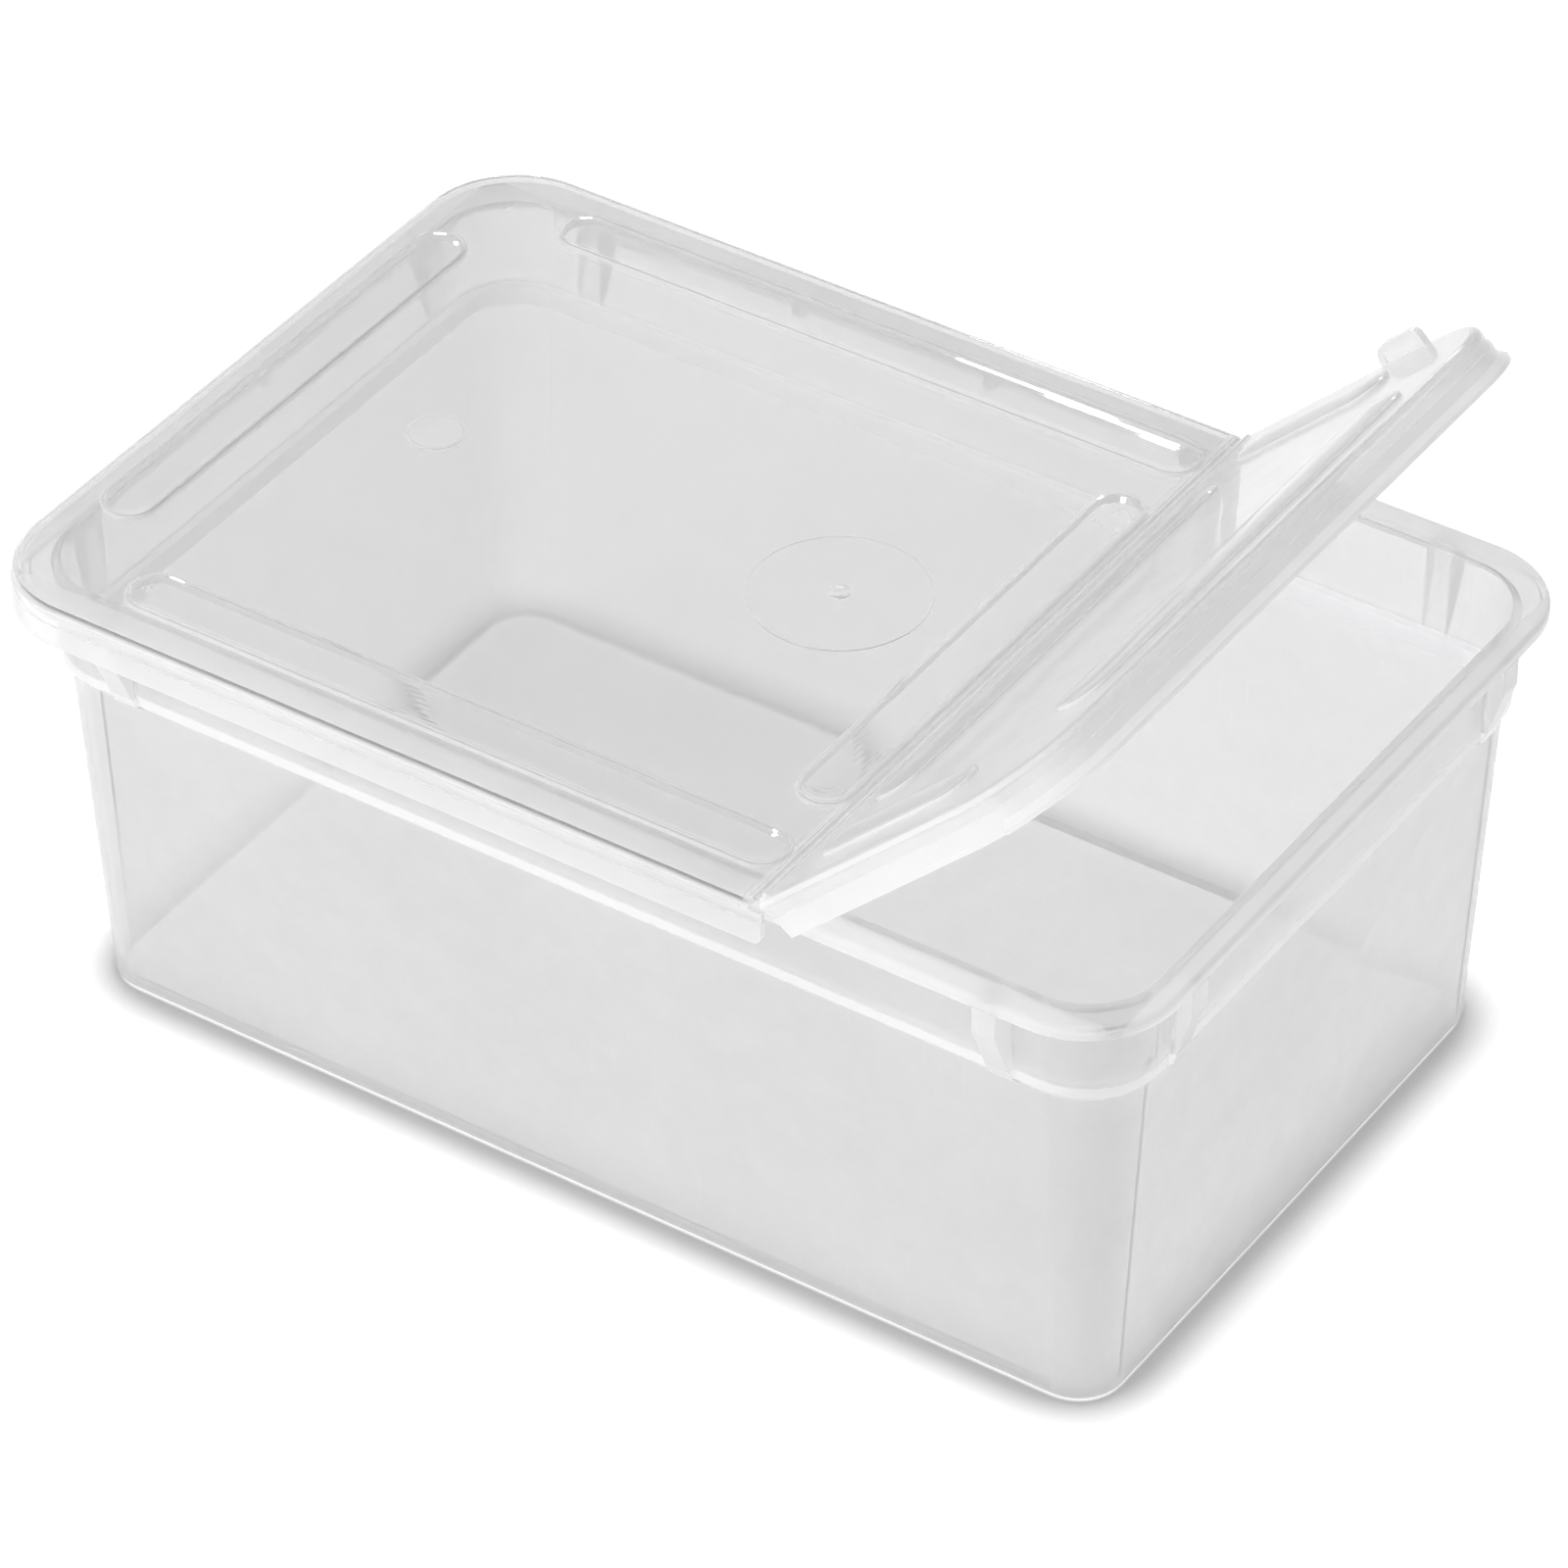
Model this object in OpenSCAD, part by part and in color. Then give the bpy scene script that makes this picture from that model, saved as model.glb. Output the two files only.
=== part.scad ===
// Plastic pet keeper: clear tub, clear lid and an end flap on a living hinge.
// Millimetres. X runs along the box, the flap is at +X, +Z is up, the base centre is the origin.

/* [Tub] */
// Outer length of the rim
rim_l = 187; // [150:1:240]
// Outer width of the rim
rim_w = 123.2; // [100:1:160]
// Height of the rim above the table
rim_z = 74.3; // [62:0.1:110]
// Length of the mouth
mouth_l = 178.4; // [140:1:232]
// Width of the mouth
mouth_w = 112.2; // [88:1:150]
// Inner corner radius of the mouth
mouth_r = 10.8; // [8:0.1:16]
// Wall thickness
wall = 1.2; // [0.9:0.1:2]
// Floor thickness
floor_t = 1.4; // [1:0.1:2.5]
// Taper of the wall on each side from the ledge to the base
draft = 3.1; // [1:0.1:4]
// Width of the stacking ledge inside the wall
ledge = 1.2; // [0.6:0.1:2]
// Depth of the ledge under the rim
ledge_drop = 14.3; // [10:0.1:20]

/* [Lid] */
// Outer length of the closed lid
lid_l = 190; // [153:1:243]
// Outer width of the closed lid
lid_w = 126.2; // [103:1:163]
// Outer corner radius of the lid
lid_r = 15.3; // [12:0.1:20]
// Thickness of the lid plate
plate_t = 1; // [0.8:0.1:2]
// Height of the skirt
skirt_h = 6.4; // [5:0.1:10]
// Thickness of the lower band of the skirt
skirt_t = 1.1; // [0.9:0.1:1.5]
// Height of the hollow ribs on the lid
rib_h = 1.5; // [1.2:0.1:3]
// Width of the hollow ribs on the lid
rib_w = 8.8; // [6:0.1:9.4]

/* [Flap] */
// Distance of the hinge line from the middle of the box
hinge_x = 37.2; // [20:0.1:50]
// Angle at which the flap is shown open
flap_open = 44; // [0:1:110]
// Length of the finger tab on the back edge
tab_l = 9.1; // [7:0.1:16]
// Height of the finger tab above the flap
tab_h = 2.9; // [2.4:0.1:6]

/* [Hidden] */
$fn = 64;
eps = 0.02;

// ---- tub ----
corner_x = mouth_l / 2 - mouth_r;
corner_y = mouth_w / 2 - mouth_r;
upper_draft = 0.5;
ledge_z = rim_z - ledge_drop;
step_h = 1.6;
in_top = mouth_r;
in_ledge = mouth_r - upper_draft;
in_step = in_ledge - ledge;
in_base = in_step - draft;
foot_r = 1.4;
inner_fillet_r = 1.2;
lean_in = draft / ledge_z;
lean_out = draft / (ledge_z - step_h - ledge);
fillet_y = floor_t + inner_fillet_r;
floor_r = in_base + lean_in * fillet_y - inner_fillet_r / cos(atan(lean_in));
foot_x = in_base + wall + lean_out * foot_r - foot_r / cos(atan(lean_out));

// ---- rim ----
rim_r = 14.2;
rim_cx = rim_l / 2 - rim_r;
rim_cy = rim_w / 2 - rim_r;
rim_t = 1.3;
rim_drop = 1.9;
rim_edge_t = 1.2;
rim_round = 0.8;
gusset_w = 2;
gusset_h = 1.2;
gusset_pitch = 33;
gusset_shift = -2.2;
post_w = 3.8;
post_x = 72.5;
post_y = 41;
post_inset = 0.2;
post_straight = 6.4;
post_foot = 0.8;
post_toe = 0.5;

// ---- lid ----
lid_gap = 0.1;
lid_top = rim_z + lid_gap + plate_t;
lid_cx = lid_l / 2 - lid_r;
lid_cy = lid_w / 2 - lid_r;
band_drop = 2.9;
band_step = 0.3;
skirt_in = lid_r - skirt_t;
edge_round = 1.2;
rib_wall = 0.8;
rib_rise_share = 0.66;
rib_steps = 8;
end_rib_x = 85.8;
side_rib_y = 52.4;
cross_rib_l = 82.6;
hinge_rib_x = 31.8;
side_rib_a = -74;
side_rib_b = 36;
flap_rib_h = 1;
flap_rib_x = 46.6;
flap_side_a = 44.8;
flap_side_b = 75.5;
disc_x = -59.5;
disc_d = 8.2;
disc_h = 0.3;
ring_x = 9.4;
ring_d = 26.2;
ring_h = 0.25;
gate_d = 3;
gate_h = 0.7;

// ---- hinge ----
hinge_z = lid_top - 0.18;
web_t = 0.36;
web_half = 0.9;
web_gap = 0.25;
web_bite = 0.4;
bead_w = 0.8;
bead_h = 0.35;
bead_off = 0.3;
hinge_y = lid_w / 2 - 1.6;
tail = 1.3;
tail_round = 1.4;
bevel_top = 1.65;
bevel_foot = 2.8;

// ---- flap edge ----
tab_s = 31;
tab_t = 1.3;
tab_round = 2.6;
tab_round_end = 1.4;
tab_rim = 1.1;
tab_dish = 0.45;
lip_out = 1;
lip_h = 1.7;
lip_reach = 9;
lip_from = lid_l / 2 - lip_reach;

// ================= helpers =================

function arc(x, y, r, a0, a1, n) =
  [for (i = [0 : n]) let (a = a0 + (a1 - a0) * i / n) [x + r * cos(a), y + r * sin(a)]];

// A 2-D profile (x = distance from the corner centre, y = height) carried round a rounded rectangle.
module carry(cx, cy) {
  for (a = [0 : 90 : 270]) {
    u = (a % 180 == 0) ? cx : cy;
    v = (a % 180 == 0) ? cy : cx;
    rotate([0, 0, a]) {
      translate([u, v, 0]) rotate([90, 0, 0]) linear_extrude(2 * v) children();
      translate([u, v, 0]) rotate_extrude(angle = 90) children();
    }
  }
}

module rounded_rect(cx, cy, r) {
  square([2 * cx + 2 * r, 2 * cy], center = true);
  square([2 * cx, 2 * cy + 2 * r], center = true);
  for (sx = [-1, 1], sy = [-1, 1]) translate([sx * cx, sy * cy]) circle(r);
}

// What a quarter round of radius r leaves outside it, at an outer corner (up: 1 = top, -1 = bottom).
module round_waste(r, up) {
  difference() {
    translate([-r, up > 0 ? -r : -1]) square([r + 1, r + 1]);
    translate([-r, -up * r]) circle(r);
  }
}

module slab(z0, h) {
  translate([0, 0, z0]) linear_extrude(h) children();
}

// Half of an arched section: x = distance from its middle line, y = height.
module half_arch(half, foot, top) {
  rise = top * rib_rise_share;
  polygon(concat([[0, foot], [half, foot]],
    [for (i = [0 : rib_steps]) let (a = 90 * i / rib_steps)
      [half * cos(a), top - rise + rise * sin(a)]]));
}

// An arched bar with domed ends, lying along X, from z = foot up to z = top.
module arched_bar(len, w, foot, top) {
  straight = (len - w) / 2;
  for (s = [-1, 1]) {
    translate([s * straight, 0, 0]) rotate_extrude() half_arch(w / 2, foot, top);
    rotate([90, 0, s * 90]) linear_extrude(2 * straight, center = true)
      half_arch(w / 2, foot, top);
  }
}

// ================= tub =================

module wall_profile() {
  polygon(concat(
    [[floor_r, 0]],
    arc(foot_x, foot_r, foot_r, -90, -atan(lean_out), 5),
    [
      [in_step + wall, ledge_z - step_h - ledge],
      [in_ledge + wall, ledge_z - step_h],
      [in_top + wall, rim_z],
      [in_top, rim_z],
      [in_ledge, ledge_z],
      [in_step, ledge_z]
    ],
    arc(floor_r, fillet_y, inner_fillet_r, -atan(lean_in), -90, 4)
  ));
}

module rim_section() {
  difference() {
    square([rim_r, rim_drop]);
    translate([-1, -1]) square([rim_r - rim_edge_t + 1, rim_drop - rim_t + 1]);
    translate([rim_r, rim_drop]) round_waste(rim_round, 1);
  }
}

module rim() {
  difference() {
    translate([0, 0, rim_z - rim_drop]) carry(rim_cx, rim_cy) rim_section();
    slab(rim_z - rim_drop - 1, rim_drop + 2) rounded_rect(corner_x, corner_y, mouth_r + wall / 2);
  }
}

// Side view of a post: x = distance from the corner centre line, y = height.
module post_section(outer) {
  polygon([
    [in_top + wall / 2, rim_z - rim_t],
    [outer, rim_z - rim_t],
    [outer, rim_z - post_straight],
    [in_ledge + wall + post_toe, ledge_z - step_h],
    [in_step + wall / 2, ledge_z - step_h - ledge - post_foot],
    [in_step + wall / 2, ledge_z - step_h],
    [in_ledge + wall / 2, ledge_z]
  ]);
}

module post_at(centre, outer) {
  translate([centre, post_w / 2, 0]) rotate([90, 0, 0]) linear_extrude(post_w)
    post_section(outer - post_inset - centre);
}

module posts() {
  for (s = [-1, 1], a = [0, 180]) {
    rotate([0, 0, a]) translate([0, s * post_y, 0]) post_at(corner_x, rim_l / 2);
    rotate([0, 0, a]) translate([s * post_x, 0, 0]) rotate([0, 0, 90]) post_at(corner_y, rim_w / 2);
  }
}

module gussets() {
  z0 = rim_z - rim_t - gusset_h;
  for (i = [-1, 0, 1], s = [-1, 1]) {
    y_in = mouth_w / 2 + wall / 2;
    y_out = rim_w / 2 - rim_edge_t / 2;
    translate([gusset_shift + i * gusset_pitch - gusset_w / 2, s > 0 ? y_in : -y_out, z0])
      cube([gusset_w, y_out - y_in, gusset_h + eps]);
  }
  for (s = [-1, 1]) {
    x_in = mouth_l / 2 + wall / 2;
    x_out = rim_l / 2 - rim_edge_t / 2;
    translate([s > 0 ? x_in : -x_out, -gusset_w / 2, z0])
      cube([x_out - x_in, gusset_w, gusset_h + eps]);
  }
}

module tub() {
  color([0.86, 0.87, 0.88, 0.5]) union() {
    slab(0, floor_t) rounded_rect(corner_x, corner_y, floor_r + eps);
    carry(corner_x, corner_y) wall_profile();
    rim();
    posts();
    gussets();
  }
}

// ================= lid =================

// Section of the lid edge: plate margin, rounded shoulder, skirt and its thicker lower band.
module lid_edge() {
  difference() {
    union() {
      translate([0, -plate_t]) square([lid_r - band_step, plate_t]);
      translate([skirt_in, -skirt_h]) square([skirt_t - band_step, skirt_h]);
      translate([skirt_in, -skirt_h]) square([skirt_t, skirt_h - band_drop]);
    }
    translate([lid_r - band_step, 0]) round_waste(edge_round, 1);
  }
}

// Everything of the closed lid that lies between x = x0 and x = x1.
module lid_slice(x0, x1) {
  intersection() {
    translate([0, 0, lid_top]) carry(lid_cx, lid_cy) lid_edge();
    translate([x0, -lid_w, lid_top - skirt_h - 1]) cube([x1 - x0, 2 * lid_w, skirt_h + 2]);
  }
  intersection() {
    slab(lid_top - plate_t, plate_t) square([2 * lid_cx + eps, 2 * lid_cy + eps], center = true);
    translate([x0, -lid_w, lid_top - plate_t - 1]) cube([x1 - x0, 2 * lid_w, plate_t + 2]);
  }
}

module lid_ribs(core) {
  for (s = [-1, 1]) translate([(side_rib_a + side_rib_b) / 2, s * side_rib_y, lid_top])
    rib(side_rib_b - side_rib_a, rib_h, core);
  for (x = [-end_rib_x, hinge_rib_x]) translate([x, 0, lid_top]) rotate([0, 0, 90])
    rib(cross_rib_l, rib_h, core);
}

module flap_ribs(core) {
  for (s = [-1, 1]) translate([(flap_side_a + flap_side_b) / 2, s * side_rib_y, lid_top])
    rib(flap_side_b - flap_side_a, flap_rib_h, core);
  for (x = [flap_rib_x, end_rib_x]) translate([x, 0, lid_top]) rotate([0, 0, 90])
    rib(cross_rib_l, flap_rib_h, core);
}

// A hollow raised rib on the plate, or what is cut out under it.
module rib(len, h, core) {
  if (core) arched_bar(len - 2 * rib_wall, rib_w - 2 * rib_wall, -plate_t - 1, h - rib_wall);
  else arched_bar(len, rib_w, 0, h);
}

module hinge_bead(x) {
  translate([x, -hinge_y, lid_top - eps]) cube([bead_w, 2 * hinge_y, bead_h + eps]);
}

module lid_panel() {
  color([0.88, 0.89, 0.9, 0.5]) union() {
    difference() {
      union() {
        lid_slice(-lid_l, hinge_x - web_half);
        lid_ribs(false);
        skirt_tail();
      }
      lid_ribs(true);
    }
    hinge_bead(hinge_x - web_half - bead_off - bead_w);
    translate([disc_x, 0, lid_top - eps]) cylinder(h = disc_h + eps, d = disc_d);
    translate([ring_x, 0, lid_top - eps]) cylinder(h = ring_h + eps, d = ring_d);
    translate([ring_x, 0, lid_top]) gate_nub();
  }
}

// The end of the lid's skirt reaches past the hinge line, under the flap's plate.
module skirt_tail() {
  intersection() {
    translate([0, 0, lid_top]) carry(lid_cx, lid_cy) lid_edge();
    across() difference() {
      translate([hinge_x - web_half - eps, lid_top - skirt_h])
        square([web_half + tail + eps, skirt_h - plate_t - web_gap]);
      translate([hinge_x + tail, lid_top - skirt_h]) round_waste(tail_round, -1);
    }
  }
}

// A side view (x, z) cut through the whole width.
module across() {
  rotate([90, 0, 0]) linear_extrude(2 * lid_w, center = true) children();
}

module gate_nub() {
  intersection() {
    translate([0, 0, ring_h + gate_h - gate_d]) sphere(gate_d);
    cylinder(h = gate_d, d = gate_d);
  }
}

module living_hinge() {
  color([0.9, 0.9, 0.91, 0.5])
    translate([hinge_x - web_half, -hinge_y, hinge_z - web_t / 2])
    cube([web_half - web_gap, 2 * hinge_y, web_t]);
}

// ================= flap =================

// The finger tab seen from the back edge: x along the flap, y upward, inset all round by "by".
module tab_outline(by) {
  difference() {
    translate([by, by - plate_t]) square([tab_l - 2 * by, plate_t + tab_h - 2 * by]);
    translate([by, tab_h - by]) rotate(90) round_waste(tab_round - by, 1);
    translate([tab_l - by, tab_h - by]) round_waste(tab_round_end - by, 1);
  }
}

// An upright finger tab with a shallow dish in its inner face.
module tab() {
  translate([hinge_x + tab_s, lid_w / 2 - band_step, lid_top]) rotate([90, 0, 0]) difference() {
    linear_extrude(tab_t) tab_outline(0);
    translate([0, 0, tab_t - tab_dish]) linear_extrude(1) tab_outline(tab_rim);
  }
}

// A lip along the lower edge of the end skirt, with a sloping top.
module lip() {
  intersection() {
    translate([0, 0, lid_top - skirt_h]) carry(lid_cx, lid_cy) polygon([
      [lid_r - skirt_t / 2, 0],
      [lid_r + lip_out, 0],
      [lid_r + lip_out, lip_h - lip_out],
      [lid_r, lip_h],
      [lid_r - skirt_t / 2, lip_h]
    ]);
    translate([lip_from, -lid_w, 0]) cube([lid_l, 2 * lid_w, lid_top]);
  }
}

module flap_closed() {
  difference() {
    union() {
      lid_slice(hinge_x + web_half, lid_l);
      flap_ribs(false);
      tab();
      lip();
    }
    flap_ribs(true);
    translate([hinge_x, 0, 0]) flap_bevel();
  }
  hinge_bead(hinge_x + web_half + bead_off);
  translate([hinge_x + web_gap, -hinge_y, hinge_z - web_t / 2])
    cube([web_half - web_gap + web_bite, 2 * hinge_y, web_t]);
}

// What is cut off the start of the flap's skirt, so that it leans away from the lid's.
module flap_bevel() {
  translate([0, 0, lid_top - plate_t]) across() polygon([
    [-1, 0],
    [bevel_top, 0],
    [bevel_foot, plate_t - skirt_h - eps],
    [-1, plate_t - skirt_h - eps]
  ]);
}

module flap() {
  color([0.88, 0.89, 0.9, 0.5])
    translate([hinge_x, 0, hinge_z]) rotate([0, -flap_open, 0]) translate([-hinge_x, 0, -hinge_z])
    flap_closed();
}

tub();
lid_panel();
living_hinge();
flap();
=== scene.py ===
import math

import bpy
from mathutils import Matrix, Vector

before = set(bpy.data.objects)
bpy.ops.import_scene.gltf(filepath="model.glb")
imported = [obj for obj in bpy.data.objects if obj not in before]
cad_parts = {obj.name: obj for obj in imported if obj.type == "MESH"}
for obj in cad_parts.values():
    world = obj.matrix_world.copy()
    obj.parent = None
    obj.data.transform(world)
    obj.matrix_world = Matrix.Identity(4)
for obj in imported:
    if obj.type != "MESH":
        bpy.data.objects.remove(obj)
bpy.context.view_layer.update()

# ---------------------------------------------------------------- sizes shared with the part, in mm

LID_TOP = 75.4
PLATE_T = 1.0
BAND_DROP = 2.9
LEDGE_Z = 60.0
LEDGE_FOOT = 57.2
WALL_OUT_X = 90.5
WALL_OUT_Y = 57.4
HINGE_X = 37.2
HINGE_Z = 75.22
FLAP_OPEN = math.radians(44)

# round places on the lid's middle line that are whiter: x, radius, width of the soft edge, white
FROSTED_DISC = (-59.5, 4.1, 0.3, 0.25)
GATE_NUB = (9.4, 1.6, 0.8, 0.45)

# ---------------------------------------------------------------- view of the photograph

CAMERA_AT = Vector((0.500822, -0.741342, 0.751283))
AZIMUTH = math.radians(34.05)
ELEVATION = math.radians(38.58)
ROLL = -0.00756
LENS = 184.93
SENSOR = 36.0


def add_camera():
    back = Vector((math.sin(AZIMUTH) * math.cos(ELEVATION),
                   -math.cos(AZIMUTH) * math.cos(ELEVATION),
                   math.sin(ELEVATION)))
    right = (-back).cross(Vector((0, 0, 1))).normalized()
    up = right.cross(-back).normalized()
    c, s = math.cos(ROLL), math.sin(ROLL)
    right, up = right * c + up * s, up * c - right * s
    data = bpy.data.cameras.new("view")
    data.lens = LENS
    data.sensor_width = SENSOR
    data.clip_start = 0.05
    camera = bpy.data.objects.new("view", data)
    rot = Matrix((right, up, back)).transposed().to_4x4()
    camera.matrix_world = Matrix.Translation(CAMERA_AT) @ rot
    bpy.context.scene.collection.objects.link(camera)
    bpy.context.scene.camera = camera


# ---------------------------------------------------------------- node graphs in few words

class Graph:
    """A node tree where sockets and numbers are used alike."""

    def __init__(self, tree):
        self.tree = tree
        tree.nodes.clear()

    def feed(self, socket, value):
        if isinstance(value, bpy.types.NodeSocket):
            self.tree.links.new(value, socket)
        else:
            socket.default_value = value

    def node(self, kind, inputs=None, **settings):
        node = self.tree.nodes.new("ShaderNode" + kind)
        for key, value in settings.items():
            setattr(node, key, value)
        for key, value in (inputs or {}).items():
            self.feed(node.inputs[key], value)
        return node

    def math(self, operation, a, b=0.0, clamp=False):
        return self.node("Math", {0: a, 1: b}, operation=operation, use_clamp=clamp).outputs[0]

    def rise(self, value, low, high, to_low=0.0, to_high=1.0):
        """A smooth step from to_low, at low, up to to_high, at high."""
        step = self.node("MapRange", {"Value": value, "From Min": low, "From Max": high,
                                      "To Min": to_low, "To Max": to_high},
                         interpolation_type="SMOOTHSTEP")
        return step.outputs["Result"]

    def noise(self, place, scale, detail=3.0, rough=0.5):
        return self.node("TexNoise", {"Vector": place, "Scale": scale, "Detail": detail,
                                      "Roughness": rough}).outputs["Fac"]

    def blend(self, share, a, b):
        return self.node("MixShader", {0: share, 1: a, 2: b}).outputs[0]

    def colour(self, share, a, b):
        mix = self.node("Mix", data_type="RGBA")
        for index, value in ((0, share), (6, a), (7, b)):
            self.feed(mix.inputs[index], value)
        return mix.outputs[2]


def new_material(name):
    material = bpy.data.materials.new(name)
    material.use_nodes = True
    return material, Graph(material.node_tree)


# ---------------------------------------------------------------- milky clear plastic

IOR = 1.49
THROUGH = (0.88, 0.88, 0.885, 1)      # what a clear skin leaves of the light that makes shadows
TRANSLUCENT = 0.35                    # share of the white body that glows from behind

# how many features of each kind come to a mm
FLOW, CLOUD, PEEL, GRAIN, DUST, PATCH = 0.028, 0.16, 0.22, 0.9, 0.55, 0.045
MARK_ACROSS, MARK_ALONG = 1.0, 0.03


def closed_place(g, opened):
    """Place on the piece in mm, and its normal, as it lies when the part is closed."""
    here = g.node("TexCoord").outputs
    place, normal = here["Object"], here["Normal"]
    if opened:
        place = g.node("VectorRotate", {"Vector": place, "Angle": opened,
                                        "Center": (HINGE_X / 1000, 0, HINGE_Z / 1000)},
                       rotation_type="Y_AXIS").outputs[0]
        normal = g.node("VectorRotate", {"Vector": normal, "Angle": opened},
                        rotation_type="Y_AXIS").outputs[0]
    scaled = g.node("VectorMath", {0: place, "Scale": 1000.0}, operation="SCALE").outputs[0]
    return scaled, normal


def streaks(g, place, upright, angle, few):
    """Fine straight marks, 1 on a mark and 0 elsewhere: upright ones, or level ones at an angle.
    The nearer few is to 1, the fewer they are."""
    scale = ((MARK_ACROSS, MARK_ACROSS, MARK_ALONG) if upright
             else (MARK_ALONG, MARK_ACROSS, MARK_ACROSS))
    turned = g.node("Mapping", {"Vector": place, "Rotation": (0, 0, angle), "Scale": scale},
                    vector_type="POINT").outputs[0]
    line = g.noise(turned, 1.0, 3.0, 0.6)
    patch = g.noise(place, PATCH, 2.0)
    return g.math("MULTIPLY", g.rise(line, few, few + 0.05), g.rise(patch, 0.45, 0.62))


def clear_plastic(name, tint, haze, grazing, marks, rough, opened=0.0, whiter=None,
                  upright=False):
    """Moulded clear plastic: a glassy skin over a little white haze, with flow and handling marks.

    tint is the light that a clear skin passes, haze the share of white straight on and grazing the
    share edge on. marks is how much the handling marks show, rough the mean roughness, and opened
    the angle that the piece is turned by at rest. The marks run upright or level. whiter, where
    given, makes from place and normal a socket with the extra white of thick or frosted parts, and
    on the lid also with a painted highlight on the upright walls."""
    material, g = new_material(name)
    place, normal = closed_place(g, opened)

    flow = g.noise(place, FLOW, 2.0)
    cloud = g.noise(place, CLOUD, 4.0, 0.6)
    peel = g.noise(place, PEEL, 1.0)
    grain = g.noise(place, GRAIN, 2.0)
    specks = g.node("TexVoronoi", {"Vector": place, "Scale": DUST, "Randomness": 1.0}).outputs
    chosen = g.rise(g.node("SeparateXYZ", {0: specks["Color"]}).outputs[0], 0.80, 0.84)
    dust = g.math("MULTIPLY", g.rise(specks["Distance"], 0.075, 0.03), chosen)
    lines = g.math("MAXIMUM", streaks(g, place, upright, 0.5, 0.64),
                   streaks(g, place, upright, -1.1, 0.65))

    # extra white of thick or frosted parts; on the lid it also holds a painted highlight on the
    # upright walls
    extra = whiter(g, place, normal) if whiter else 0.0
    edge_on = g.node("LayerWeight", {"Blend": 0.4}).outputs["Facing"]
    white = g.rise(edge_on, 0.0, 1.0, haze, grazing)
    white = g.math("MULTIPLY", white, g.rise(flow, 0.3, 0.7, 0.96, 1.04))
    white = g.math("MULTIPLY", white, g.rise(cloud, 0.3, 0.7, 0.98, 1.02))
    white = g.math("ADD", white, extra)
    white = g.math("ADD", white, g.math("MULTIPLY", lines, marks))
    white = g.math("ADD", white, g.math("MULTIPLY", dust, 0.05), clamp=True)

    relief = g.node("Bump", {"Height": flow, "Strength": 0.04, "Distance": 0.001})
    relief = g.node("Bump", {"Height": peel, "Strength": 0.02, "Distance": 0.0003,
                             "Normal": relief.outputs[0]}).outputs[0]
    matt = g.math("ADD", g.rise(grain, 0.3, 0.7, rough * 0.7, rough * 1.3),
                  g.math("MULTIPLY", lines, marks))

    passed = g.colour(g.rise(cloud, 0.35, 0.65), (tint - 0.006, tint - 0.006, tint - 0.004, 1),
                      (tint, tint, tint, 1))
    glass = g.node("BsdfPrincipled", {"Base Color": passed, "Roughness": matt, "IOR": IOR,
                                      "Transmission Weight": 1.0, "Normal": relief}).outputs[0]
    pale = g.colour(g.rise(flow, 0.3, 0.7), (0.905, 0.90, 0.905, 1), (0.92, 0.92, 0.92, 1))
    solid = g.node("BsdfPrincipled", {"Base Color": pale, "Roughness": matt, "IOR": IOR,
                                      "Normal": relief}).outputs[0]
    glow = g.node("BsdfTranslucent", {"Color": pale}).outputs[0]
    body = g.blend(TRANSLUCENT, solid, glow)
    plastic = g.blend(white, glass, body)

    # thin clear walls let the light through, so that they cast only a faint shadow
    shadow = g.node("LightPath").outputs["Is Shadow Ray"]
    let_by = g.node("BsdfTransparent", {"Color": THROUGH}).outputs[0]
    g.node("OutputMaterial", {"Surface": g.blend(shadow, plastic, let_by)})
    return material


def tub_white(g, place, normal):
    """What stands proud of the walls, such as rim and posts, and the stacking step."""
    x, y, z = g.node("SeparateXYZ", {0: place}).outputs
    ax, ay = g.math("ABSOLUTE", x), g.math("ABSOLUTE", y)
    proud = g.math("MAXIMUM", g.math("SUBTRACT", ax, WALL_OUT_X), g.math("SUBTRACT", ay, WALL_OUT_Y))
    proud = g.rise(proud, -0.2, 0.5, 0.0, 0.38)
    step = g.math("MULTIPLY", g.rise(z, LEDGE_FOOT - 0.3, LEDGE_FOOT + 0.2),
                  g.rise(z, LEDGE_Z + 0.4, LEDGE_Z - 0.1))
    return g.math("ADD", proud, g.math("MULTIPLY", step, 0.7))


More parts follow.
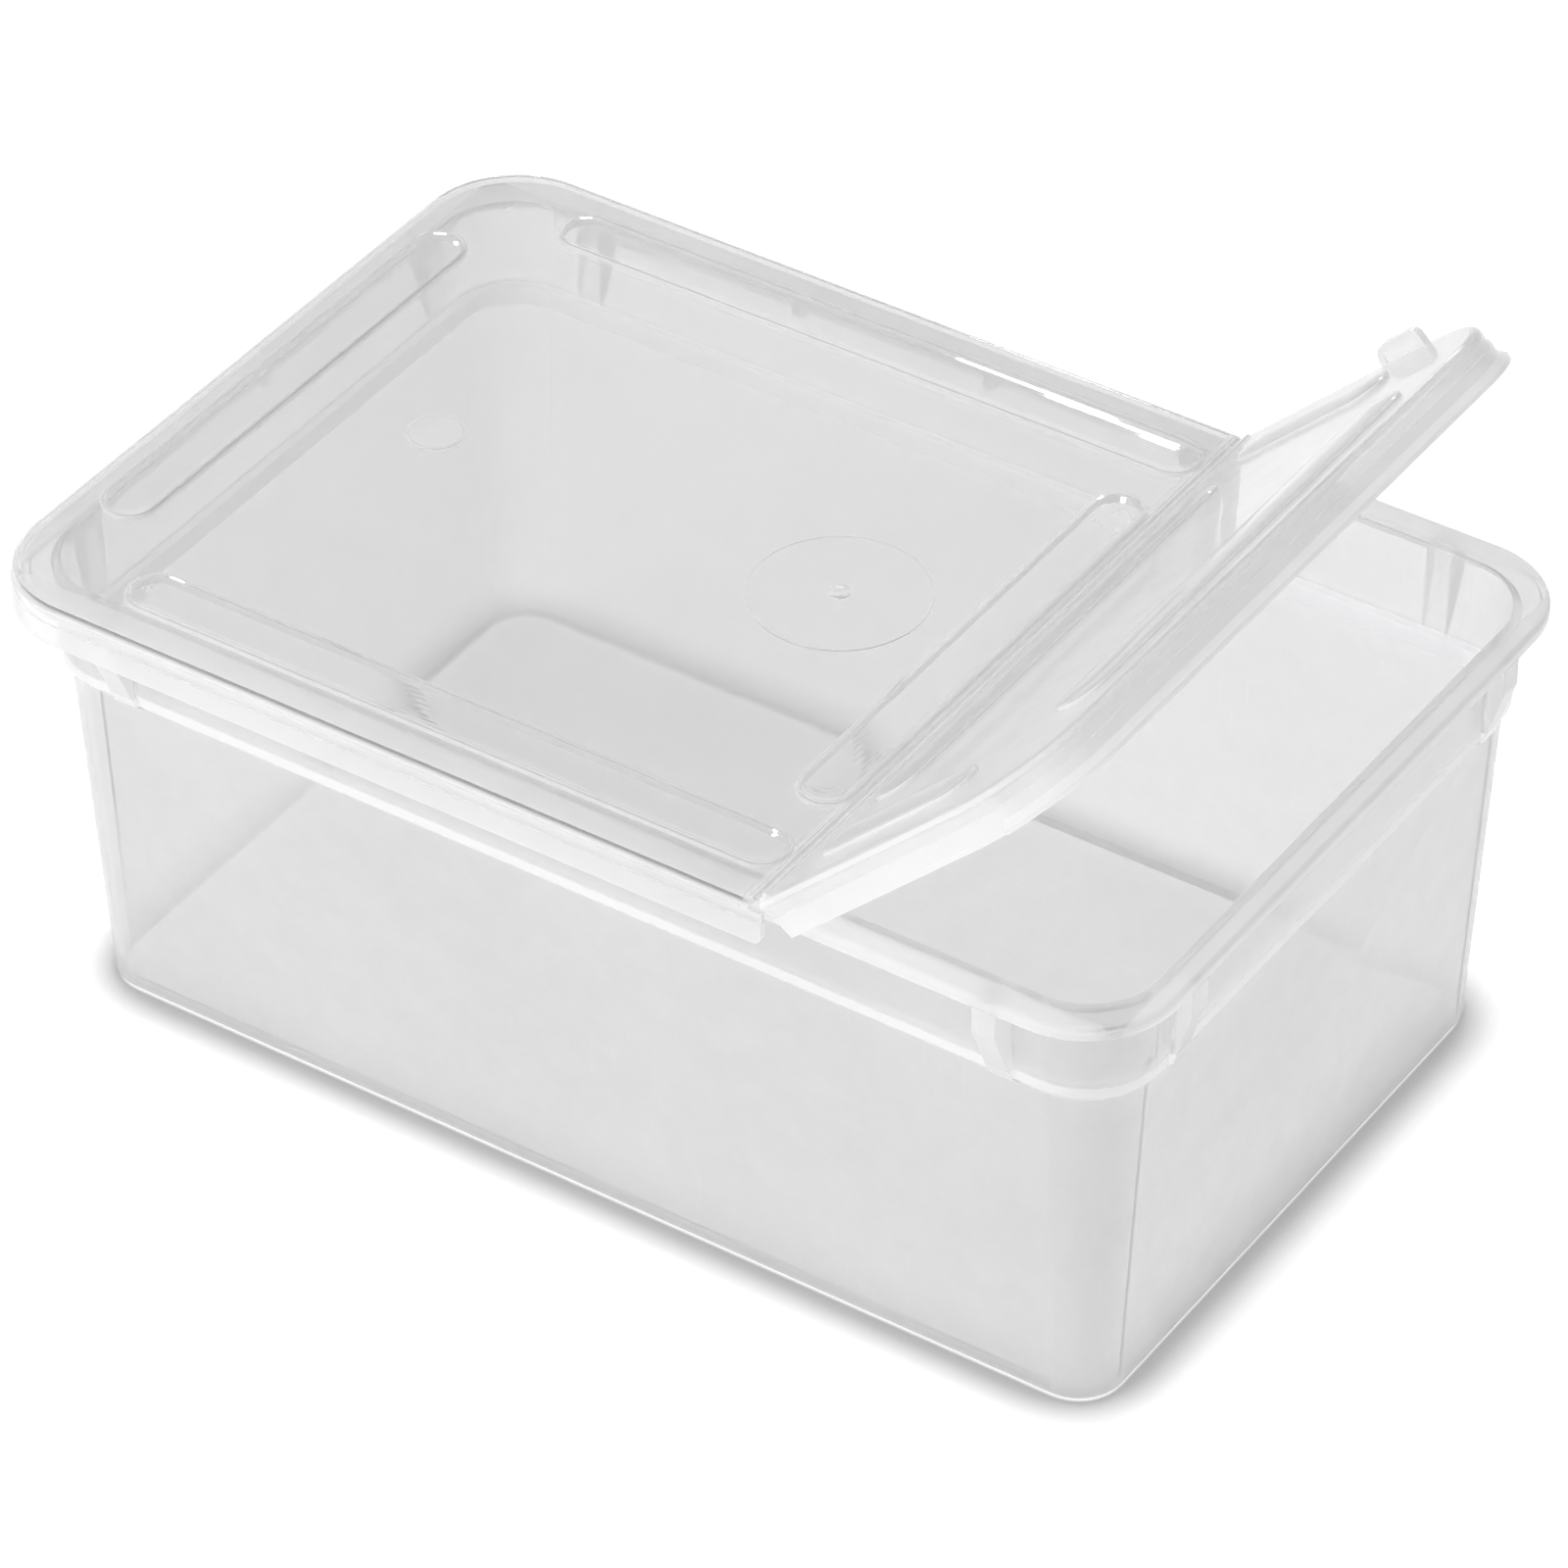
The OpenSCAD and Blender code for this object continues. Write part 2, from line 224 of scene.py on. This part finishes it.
def lid_white_and_highlight(g, place, normal):
    """The skirt with its thicker lower band, a painted highlight on the upright walls, the fold line
    and the round spots.
    """
    x, y, z = g.node("SeparateXYZ", {0: place}).outputs
    lean = g.math("ABSOLUTE", g.node("SeparateXYZ", {0: normal}).outputs[2])
    skirt = g.rise(z, LID_TOP - PLATE_T, LID_TOP - PLATE_T - 0.6, 0.0, 0.22)
    band = g.rise(z, LID_TOP - BAND_DROP, LID_TOP - BAND_DROP - 0.2, 0.0, 0.15)
    # painted highlight: the upright walls of the ribs and rings are made whiter, standing in for the
    # bright reflections along them
    walls = g.math("MULTIPLY", g.rise(z, LID_TOP - PLATE_T - 0.1, LID_TOP - PLATE_T, 0.0, 0.5),
                   g.rise(lean, 0.9, 0.5))
    fold = g.math("MULTIPLY", g.rise(z, LID_TOP - PLATE_T - 0.5, LID_TOP - PLATE_T - 0.2),
                  g.rise(g.math("ABSOLUTE", g.math("SUBTRACT", x, HINGE_X)), 2.6, 1.6, 0.0, 0.35))
    flat = g.node("CombineXYZ", {0: x, 1: y}).outputs[0]
    total = g.math("ADD", g.math("ADD", skirt, band), g.math("MAXIMUM", walls, fold))
    for spot_x, radius, soft, share in (FROSTED_DISC, GATE_NUB):
        away = g.node("VectorMath", {0: flat, 1: (spot_x, 0, 0)},
                      operation="DISTANCE").outputs["Value"]
        total = g.math("ADD", total, g.rise(away, radius, radius - soft, 0.0, share))
    return total


def dress(node, material):
    mesh = bpy.data.objects[node].data
    mesh.materials.clear()
    mesh.materials.append(material)


def soften(node, width):
    """Takes the knife edges off a moulded piece. The width is in metres."""
    piece = bpy.data.objects[node]
    weld = piece.modifiers.new("weld", "WELD")
    weld.merge_threshold = 2e-6
    bevel = piece.modifiers.new("edges", "BEVEL")
    bevel.width = width
    bevel.segments = 2
    bevel.limit_method = "ANGLE"
    bevel.angle_limit = math.radians(35)
    bevel.harden_normals = True


# ---------------------------------------------------------------- the room

# how bright the floor is painted by how much of the sky it sees: painted light, as if through the
# clear base, where it sees none, at 0, and round the foot, where it sees half, a painted contact
# shadow
FLOOR_SHADE = ((0.0, 0.85), (0.25, 0.80), (0.42, 0.35), (0.55, 0.40), (0.85, 0.82), (1.0, 1.0))
FLOOR_WHITE = (0.88, 0.88, 0.88, 1)
FLOOR_BELOW = 0.0002
CONTACT_REACH = 0.009
LIFT = 0.38

# the world's strength at the horizon, and what is left of it overhead
HORIZON = 0.725
OVERHEAD = 0.42


def seen(g):
    """1 for what the camera sees, straight on or through and off the plastic."""
    path = g.node("LightPath").outputs
    share = g.math("MAXIMUM", path["Is Camera Ray"], path["Is Glossy Ray"])
    share = g.math("MAXIMUM", share, path["Is Transmission Ray"])
    return g.math("MULTIPLY", share, g.math("LESS_THAN", path["Diffuse Depth"], 0.5))


def add_floor():
    bpy.ops.mesh.primitive_plane_add(size=6, location=(0, 0, -FLOOR_BELOW))
    floor = bpy.context.object
    floor.name = "floor"
    material, g = new_material("floor_white")
    open_sky = g.node("AmbientOcclusion", {"Distance": CONTACT_REACH}, samples=16).outputs["AO"]
    shade = g.node("ValToRGB", {"Fac": open_sky})
    ramp = shade.color_ramp.elements
    while len(ramp) < len(FLOOR_SHADE):
        ramp.new(1.0)
    for stop, (at, value) in zip(ramp, FLOOR_SHADE):
        stop.position, stop.color = at, (value, value, value, 1)
    shade = shade.outputs["Color"]
    # painted shade: the floor's white and its lift are darkened into a painted contact shadow round
    # the foot and kept light under the clear base
    white = g.colour(shade, (0, 0, 0, 1), FLOOR_WHITE)
    matt = g.node("BsdfDiffuse", {"Color": white}).outputs[0]
    strength = g.math("MULTIPLY", seen(g), g.math("MULTIPLY", shade, LIFT))
    lift = g.node("Emission", {"Color": (1, 1, 1, 1), "Strength": strength}).outputs[0]
    both = g.node("AddShader", {0: matt, 1: lift}).outputs[0]
    g.node("OutputMaterial", {"Surface": both})
    floor.data.materials.append(material)


def area(name, at, aim, size, power, size_y=None, mirrored=False):
    """A square or oblong lamp in metres and watts. Only a mirrored one makes highlights."""
    data = bpy.data.lights.new(name, "AREA")
    data.energy = power
    data.size = size
    if size_y:
        data.shape = "RECTANGLE"
        data.size_y = size_y
    lamp = bpy.data.objects.new(name, data)
    lamp.location = at
    lamp.rotation_euler = (Vector(aim) - Vector(at)).to_track_quat("-Z", "Y").to_euler()
    lamp.visible_camera = False
    lamp.visible_glossy = mirrored
    bpy.context.scene.collection.objects.link(lamp)


def add_light():
    """A white horizon and a darker ceiling, which draws the edges of the clear plastic."""
    world = bpy.data.worlds.new("room")
    bpy.context.scene.world = world
    world.use_nodes = True
    g = Graph(world.node_tree)
    height = g.node("SeparateXYZ", {0: g.node("TexCoord").outputs["Generated"]}).outputs[2]
    dome = g.rise(height, 0.35, 0.8, 1.0, OVERHEAD)
    strength = g.math("MULTIPLY", dome, HORIZON)
    back = g.node("Background", {"Color": (1, 1, 1, 1), "Strength": strength}).outputs[0]
    g.node("OutputWorld", {"Surface": back})
    area("key", (-0.525, 1.06, 0.69), (0.02, 0.05, 0.077), 0.05, 0.75, size_y=0.30,
         mirrored=True)
    area("window", (-0.77, 1.0, 0.38), (0, 0, 0.07), 0.12, 0.7, mirrored=True)
    area("top", (-0.3, 0.3, 1.2), (0, 0, 0.07), 0.8, 1.6)
    area("front", (-0.52, -0.80, 0.82), (0, 0, 0.04), 0.7, 8.5)
    area("side", (0.8, -0.7, 0.8), (0, 0, 0.04), 0.6, 3.0)


# ---------------------------------------------------------------- build

bpy.context.scene.view_settings.view_transform = "Standard"
bpy.context.scene.cycles.sample_clamp_indirect = 1.5
bpy.context.scene.cycles.caustics_reflective = False
add_camera()
add_floor()
add_light()

dress("tub", clear_plastic("tub_plastic", tint=0.785, haze=0.26, grazing=0.55, marks=0.008,
                           whiter=tub_white, upright=True, rough=0.04))
dress("lid_panel", clear_plastic("lid_plastic", tint=0.96, haze=0.06, grazing=0.5, marks=0.03,
                                 whiter=lid_white_and_highlight, rough=0.025))
dress("living_hinge", clear_plastic("hinge_plastic", tint=0.90, haze=0.25, grazing=0.6,
                                    marks=0.10, rough=0.05))
dress("flap", clear_plastic("flap_plastic", tint=0.88, haze=0.27, grazing=0.6, marks=0.03,
                            opened=FLAP_OPEN, whiter=lid_white_and_highlight, rough=0.03))
soften("tub", width=0.00022)
